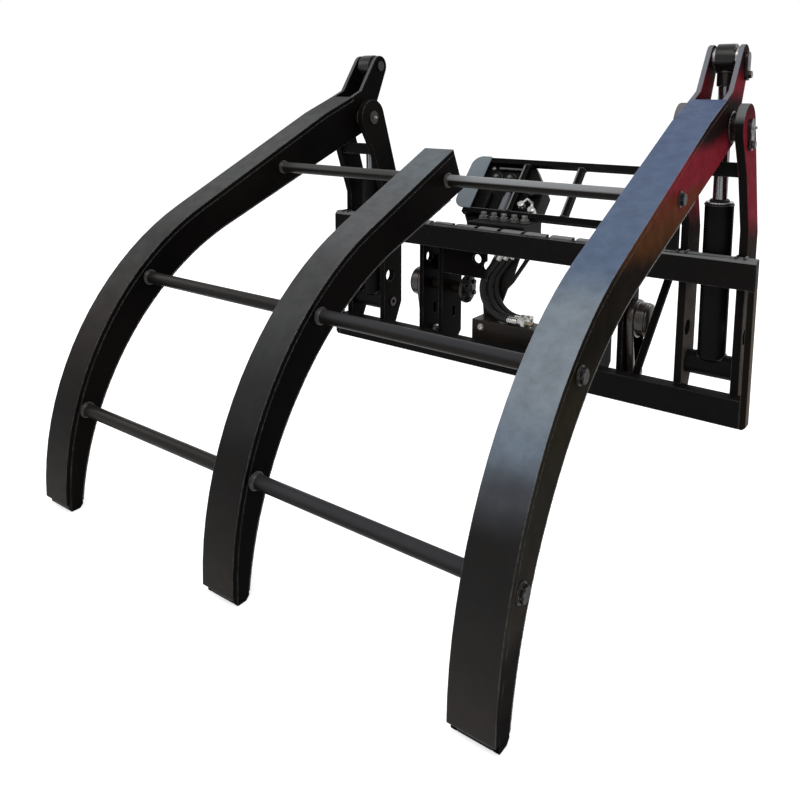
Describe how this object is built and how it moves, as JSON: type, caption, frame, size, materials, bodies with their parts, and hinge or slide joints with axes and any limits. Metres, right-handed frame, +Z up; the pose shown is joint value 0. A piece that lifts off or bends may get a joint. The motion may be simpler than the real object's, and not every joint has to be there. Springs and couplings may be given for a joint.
{
  "type": "forklift grapple",
  "caption": "Hydraulic grapple on a notched fork frame: curved box-section tines tied by cross rods, swung on two masts by a cylinder at each side.",
  "frame": {"origin": "centre of the rear coupler bore, halfway between the two lug pairs", "axes": "+X across the frame along the coupler bore, -Y towards the load and the tine tips, +Z up"},
  "size_m": [1.292, 1.4511, 1.0334],
  "materials": {
    "black_paint": "gloss black enamel",
    "dark_steel": "satin black",
    "zinc": "zinc plated",
    "chrome": "ground hard chrome",
    "bronze": "plain bearing bronze",
    "rubber": "matte hose cover",
    "grey_paint": "satin grey enamel"
  },
  "bodies": {
    "frame": {"top_bar": "black_paint", "bottom_bar": "black_paint", "uprights": "black_paint", "left_mast_plates": "black_paint", "right_mast_plates": "black_paint", "mast_gussets": "black_paint", "left_lug_plates": "black_paint", "right_lug_plates": "black_paint", "lug_tie_plates": "black_paint", "shelf": "black_paint", "shelf_legs": "black_paint", "guard_top_rail": "black_paint", "guard_lower_rail": "black_paint", "guard_posts": "black_paint", "guard_brackets": "black_paint", "hanger_arms": "dark_steel", "hanger_pins": "dark_steel", "stay_bar": "dark_steel", "manifold": "dark_steel", "pivot_pins": "zinc", "pivot_pin_bolts": "zinc", "base_pins": "zinc", "lug_bolts": "zinc", "lug_nuts": "zinc", "shelf_bolts": "zinc", "hose_fittings": "zinc", "valve_block": "zinc", "supply_hoses": "rubber", "guard_end_plate": "grey_paint"},
    "tines": {"left_tine_sides": "black_paint", "left_tine_front": "black_paint", "left_tine_rear": "black_paint", "centre_tine_sides": "black_paint", "centre_tine_front": "black_paint", "centre_tine_rear": "black_paint", "centre_tine_cap": "black_paint", "right_tine_sides": "black_paint", "right_tine_front": "black_paint", "right_tine_rear": "black_paint", "tip_blocks": "black_paint", "upper_rod": "black_paint", "middle_rod": "black_paint", "lower_rod": "black_paint", "rod_collars": "black_paint", "rod_bolts": "dark_steel", "pivot_tubes": "black_paint", "pivot_bushes": "bronze", "ear_pins": "zinc", "ear_pin_bolts": "zinc", "eye_washers": "zinc"},
    "left_barrel": {"left_barrel": "black_paint", "left_gland": "zinc"},
    "right_barrel": {"right_barrel": "black_paint", "right_gland": "zinc"},
    "left_rod": {"left_piston_rod": "chrome", "left_piston": "zinc", "left_rod_eye": "black_paint"},
    "right_rod": {"right_piston_rod": "chrome", "right_piston": "zinc", "right_rod_eye": "black_paint"}
  },
  "joints": [
    {"name": "tine_hinge", "type": "hinge", "parent": "frame", "child": "tines", "pos_m": [0, -0.089, 0.428], "axis": [-1, 0, 0], "range_deg": [0, 40]},
    {"name": "left_barrel_swing", "type": "hinge", "parent": "frame", "child": "left_barrel", "pos_m": [-0.54, 0.008, -0.171], "axis": [-1, 0, 0], "range_deg": [0, 7.5]},
    {"name": "right_barrel_swing", "type": "hinge", "parent": "frame", "child": "right_barrel", "pos_m": [0.54, 0.008, -0.171], "axis": [-1, 0, 0], "range_deg": [0, 7.5]},
    {"name": "left_rod_slide", "type": "slide", "parent": "left_barrel", "child": "left_rod", "axis": [0, 0.0212, -0.9998], "range_m": [0, 0.084]},
    {"name": "right_rod_slide", "type": "slide", "parent": "right_barrel", "child": "right_rod", "axis": [0, 0.0212, -0.9998], "range_m": [0, 0.084]}
  ],
  "couplings": [
    {"joint": "left_barrel_swing", "follows": "tine_hinge", "ratio": 0.1785},
    {"joint": "right_barrel_swing", "follows": "tine_hinge", "ratio": 0.1785},
    {"joint": "left_rod_slide", "follows": "tine_hinge", "m_per_rad": 0.1165},
    {"joint": "right_rod_slide", "follows": "tine_hinge", "m_per_rad": 0.1165}
  ]
}
